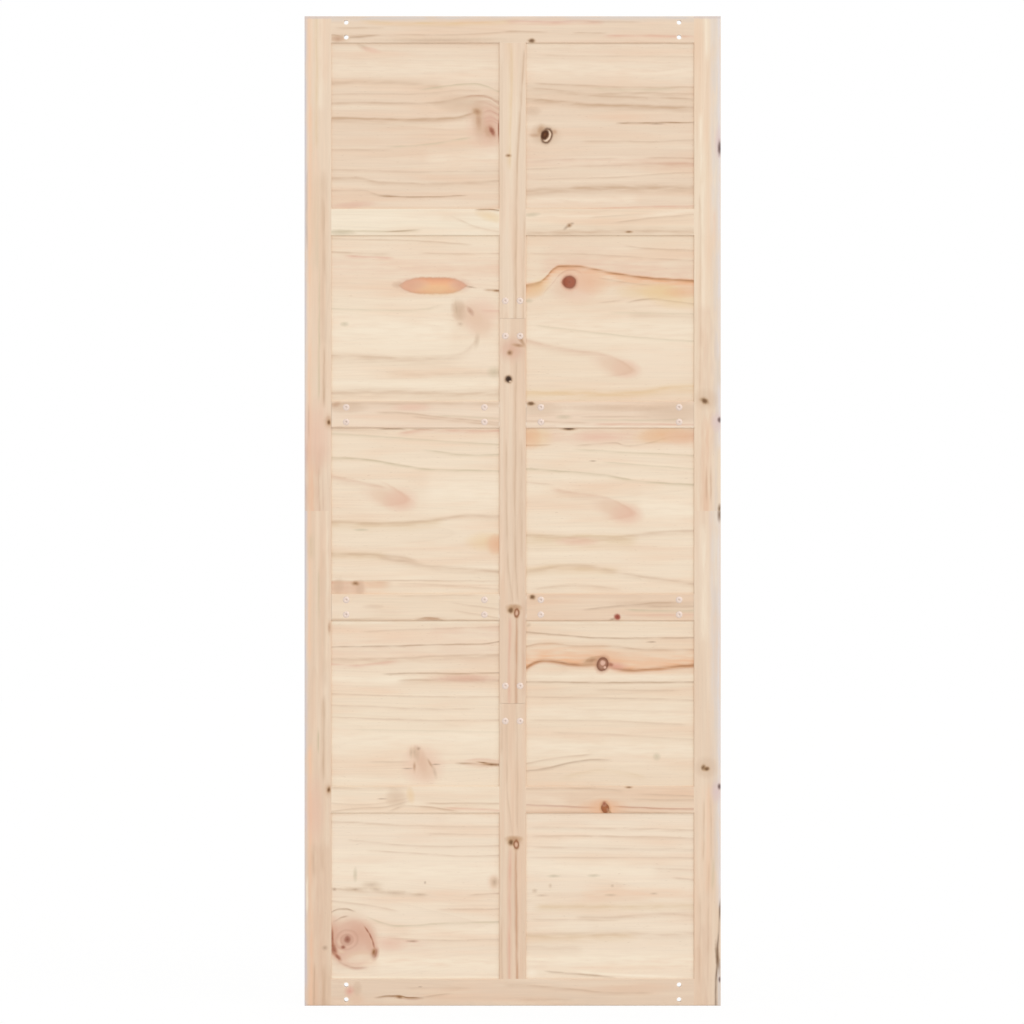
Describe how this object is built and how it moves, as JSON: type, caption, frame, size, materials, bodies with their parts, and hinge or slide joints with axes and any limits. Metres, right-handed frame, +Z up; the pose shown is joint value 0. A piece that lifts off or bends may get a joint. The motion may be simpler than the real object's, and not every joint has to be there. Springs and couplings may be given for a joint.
{
  "type": "sliding barn door leaf",
  "caption": "Sliding barn door leaf in solid pine: grooved frame with cross rails, a centre muntin and flat recessed panels, with through holes for hangers and floor guides.",
  "frame": {"origin": "on the front face of the top rail, midway between its two pairs of hanger holes", "axes": "+Z up along the door's height, +X to the right of someone facing the front, -Y out of the front face"},
  "size_m": [0.9, 0.018, 2.14],
  "materials": {
    "frame_pine": "planed and sanded pine, untreated",
    "panel_pine": "planed and sanded pine, untreated",
    "birch_plywood": "sawn plywood",
    "zinc_plated_steel": "zinc-plated"
  },
  "bodies": {
    "root": {"bottom_rail": "frame_pine", "left_stile_lower": "frame_pine", "left_stile_upper": "frame_pine", "muntin_lower": "frame_pine", "muntin_middle": "frame_pine", "muntin_tongue_lower": "birch_plywood", "muntin_tongue_upper": "birch_plywood", "muntin_upper": "frame_pine", "panel_1_left": "panel_pine", "panel_1_right": "panel_pine", "panel_2_left": "panel_pine", "panel_2_right": "panel_pine", "panel_3_left": "panel_pine", "panel_3_right": "panel_pine", "panel_4_left": "panel_pine", "panel_4_right": "panel_pine", "panel_5_left": "panel_pine", "panel_5_right": "panel_pine", "rail_1_left": "frame_pine", "rail_1_right": "frame_pine", "rail_2_centre_tongue": "birch_plywood", "rail_2_left": "frame_pine", "rail_2_left_tongue": "birch_plywood", "rail_2_right": "frame_pine", "rail_2_right_tongue": "birch_plywood", "rail_3_centre_tongue": "birch_plywood", "rail_3_left": "frame_pine", "rail_3_left_tongue": "birch_plywood", "rail_3_right": "frame_pine", "rail_3_right_tongue": "birch_plywood", "rail_4_left": "frame_pine", "rail_4_right": "frame_pine", "right_stile_lower": "frame_pine", "right_stile_upper": "frame_pine", "top_rail": "frame_pine"}
  },
  "joints": []
}
